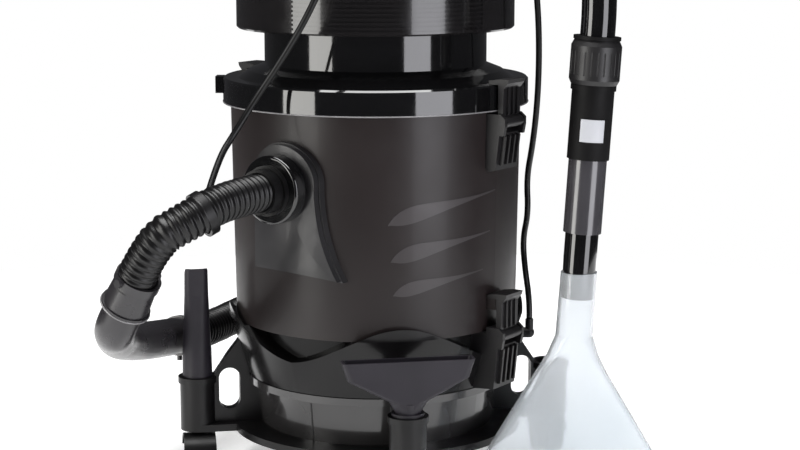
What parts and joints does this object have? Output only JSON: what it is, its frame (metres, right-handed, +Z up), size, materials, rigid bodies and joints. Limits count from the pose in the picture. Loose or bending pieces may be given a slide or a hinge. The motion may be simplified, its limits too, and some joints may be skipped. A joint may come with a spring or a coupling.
{
  "type": "carpet cleaner",
  "caption": "Drum-type carpet cleaner on casters: water tank base, smoked drum, motor head, suction hose and a standing wand with a clear floor nozzle.",
  "frame": {"origin": "on the floor, on the drum's vertical axis", "axes": "+Z up along the drum's axis, -Y towards the front, where the hose inlet is, +X to the right, where the wand stands"},
  "size_m": [0.6012, 0.6406, 0.696],
  "materials": {
    "gloss_black": "gloss",
    "satin_black": "satin",
    "skirt_grey": "gloss",
    "tank_dark": "gloss",
    "smoked_drum": "gloss",
    "inlet_grey": "satin",
    "ribbed_charcoal": "satin",
    "hose_black": "satin",
    "tube_black": "satin",
    "grip_charcoal": "satin",
    "button_grey": "satin",
    "tool_grey": "matte",
    "clear_plastic": "gloss",
    "wheel_rubber": "matte",
    "steel": "satin",
    "seal_rubber": "matte",
    "foam": "matte",
    "white_plastic": "satin",
    "inner_plastic": "satin",
    "fan_aluminium": "satin",
    "motor_metal": "satin"
  },
  "bodies": {
    "machine": {"base_crown": "gloss_black", "lid": "gloss_black", "head_neck": "gloss_black", "head_cap": "gloss_black", "hose_elbow": "gloss_black", "wand_spigot": "gloss_black", "wand_tube": "gloss_black", "hose_flare": "gloss_black", "inlet_socket": "gloss_black", "base_tray": "satin_black", "lobe_arms": "satin_black", "upper_brackets": "satin_black", "lower_brackets": "satin_black", "hose_inlet_cuff": "satin_black", "carry_handle": "satin_black", "switch_panel": "satin_black", "cord_gland": "satin_black", "pump_fitting": "satin_black", "tube_clip": "satin_black", "top_cuff": "satin_black", "base_skirt": "skirt_grey", "clean_tank": "tank_dark", "drum": "smoked_drum", "inlet_plate": "inlet_grey", "head_band": "ribbed_charcoal", "hose_front": "hose_black", "hose_rear": "hose_black", "solution_tube": "tube_black", "grip": "grip_charcoal", "grip_tail": "grip_charcoal", "floor_nozzle": "clear_plastic", "base_screws": "steel", "latch_pins": "steel", "lid_gasket": "seal_rubber", "foam_filter": "foam", "float_cage": "white_plastic", "fan_housing": "inner_plastic", "water_pump": "inner_plastic", "motor_body": "motor_metal"},
    "swivel_front_right": {"caster_fork_front_right": "satin_black"},
    "wheels_front_right": {"caster_wheels_front_right": "wheel_rubber"},
    "swivel_rear_right": {"caster_fork_rear_right": "satin_black"},
    "wheels_rear_right": {"caster_wheels_rear_right": "wheel_rubber"},
    "swivel_rear_left": {"caster_fork_rear_left": "satin_black"},
    "wheels_rear_left": {"caster_wheels_rear_left": "wheel_rubber"},
    "swivel_front_left": {"caster_fork_front_left": "satin_black"},
    "wheels_front_left": {"caster_wheels_front_left": "wheel_rubber"},
    "upper_latch_right": {"upper_latch_right": "satin_black"},
    "upper_latch_left": {"upper_latch_left": "satin_black"},
    "lower_latch_right": {"lower_latch_right": "satin_black"},
    "lower_latch_left": {"lower_latch_left": "satin_black"},
    "rocker_vacuum": {"rocker_vacuum": "satin_black"},
    "rocker_pump": {"rocker_pump": "satin_black"},
    "trigger_button": {"trigger_button": "button_grey"},
    "bleed_ring": {"bleed_ring": "ribbed_charcoal"},
    "impeller": {"impeller": "fan_aluminium"},
    "float_ball": {"float_ball": "white_plastic"},
    "crevice_tool": {"crevice_tool": "tool_grey"},
    "upholstery_tool": {"upholstery_tool": "tool_grey"}
  },
  "joints": [
    {"name": "caster_swivel_front_right", "type": "hinge", "parent": "machine", "child": "swivel_front_right", "pos_m": [0.14637, -0.14637, 0.045], "axis": [0, 0, 1], "continuous": true},
    {"name": "caster_roll_front_right", "type": "hinge", "parent": "swivel_front_right", "child": "wheels_front_right", "pos_m": [0.15415, -0.13859, 0.022], "axis": [-0.7071, 0.7071, 0], "continuous": true},
    {"name": "caster_swivel_rear_right", "type": "hinge", "parent": "machine", "child": "swivel_rear_right", "pos_m": [0.14637, 0.14637, 0.045], "axis": [0, 0, 1], "continuous": true},
    {"name": "caster_roll_rear_right", "type": "hinge", "parent": "swivel_rear_right", "child": "wheels_rear_right", "pos_m": [0.13859, 0.15415, 0.022], "axis": [-0.7071, -0.7071, 0], "continuous": true},
    {"name": "caster_swivel_rear_left", "type": "hinge", "parent": "machine", "child": "swivel_rear_left", "pos_m": [-0.14637, 0.14637, 0.045], "axis": [0, 0, 1], "continuous": true},
    {"name": "caster_roll_rear_left", "type": "hinge", "parent": "swivel_rear_left", "child": "wheels_rear_left", "pos_m": [-0.15415, 0.13859, 0.022], "axis": [0.7071, -0.7071, 0], "continuous": true},
    {"name": "caster_swivel_front_left", "type": "hinge", "parent": "machine", "child": "swivel_front_left", "pos_m": [-0.14637, -0.14637, 0.045], "axis": [0, 0, 1], "continuous": true},
    {"name": "caster_roll_front_left", "type": "hinge", "parent": "swivel_front_left", "child": "wheels_front_left", "pos_m": [-0.13859, -0.15415, 0.022], "axis": [0.7071, 0.7071, 0], "continuous": true},
    {"name": "upper_latch_right_hinge", "type": "hinge", "parent": "machine", "child": "upper_latch_right", "pos_m": [0.18, 0, 0.412], "axis": [0, 1, 0], "range_deg": [0, 80]},
    {"name": "upper_latch_left_hinge", "type": "hinge", "parent": "machine", "child": "upper_latch_left", "pos_m": [-0.18, 0, 0.412], "axis": [0, -1, 0], "range_deg": [0, 80]},
    {"name": "lower_latch_right_hinge", "type": "hinge", "parent": "machine", "child": "lower_latch_right", "pos_m": [0.18, 0, 0.177], "axis": [0, 1, 0], "range_deg": [0, 80]},
    {"name": "lower_latch_left_hinge", "type": "hinge", "parent": "machine", "child": "lower_latch_left", "pos_m": [-0.18, 0, 0.177], "axis": [0, -1, 0], "range_deg": [0, 80]},
    {"name": "rocker_vacuum_rock", "type": "hinge", "parent": "machine", "child": "rocker_vacuum", "pos_m": [-0.05876, -0.07577, 0.606], "axis": [0.866, -0.5, 0], "range_deg": [0, 12]},
    {"name": "rocker_pump_rock", "type": "hinge", "parent": "machine", "child": "rocker_pump", "pos_m": [-0.03624, -0.08877, 0.606], "axis": [0.866, -0.5, 0], "range_deg": [0, 12]},
    {"name": "trigger_press", "type": "slide", "parent": "machine", "child": "trigger_button", "axis": [-0.5736, 0.8192, 0], "range_m": [0, 0.004], "stiffness_N_per_m": 400},
    {"name": "bleed_ring_turn", "type": "hinge", "parent": "machine", "child": "bleed_ring", "pos_m": [0.26802, 0.02652, 0.47936], "axis": [0.05, 0.035, 0.9981], "range_deg": [-60, 0]},
    {"name": "impeller_spin", "type": "hinge", "parent": "machine", "child": "impeller", "pos_m": [0, 0, 0.49], "axis": [0, 0, 1], "continuous": true},
    {"name": "float_rise", "type": "slide", "parent": "machine", "child": "float_ball", "axis": [0, 0, 1], "range_m": [0, 0.042]},
    {"name": "crevice_tool_lift", "type": "slide", "parent": "machine", "child": "crevice_tool", "axis": [0, 0, 1], "range_m": [0, 0.06]},
    {"name": "upholstery_tool_lift", "type": "slide", "parent": "machine", "child": "upholstery_tool", "axis": [0, 0, 1], "range_m": [0, 0.06]}
  ]
}
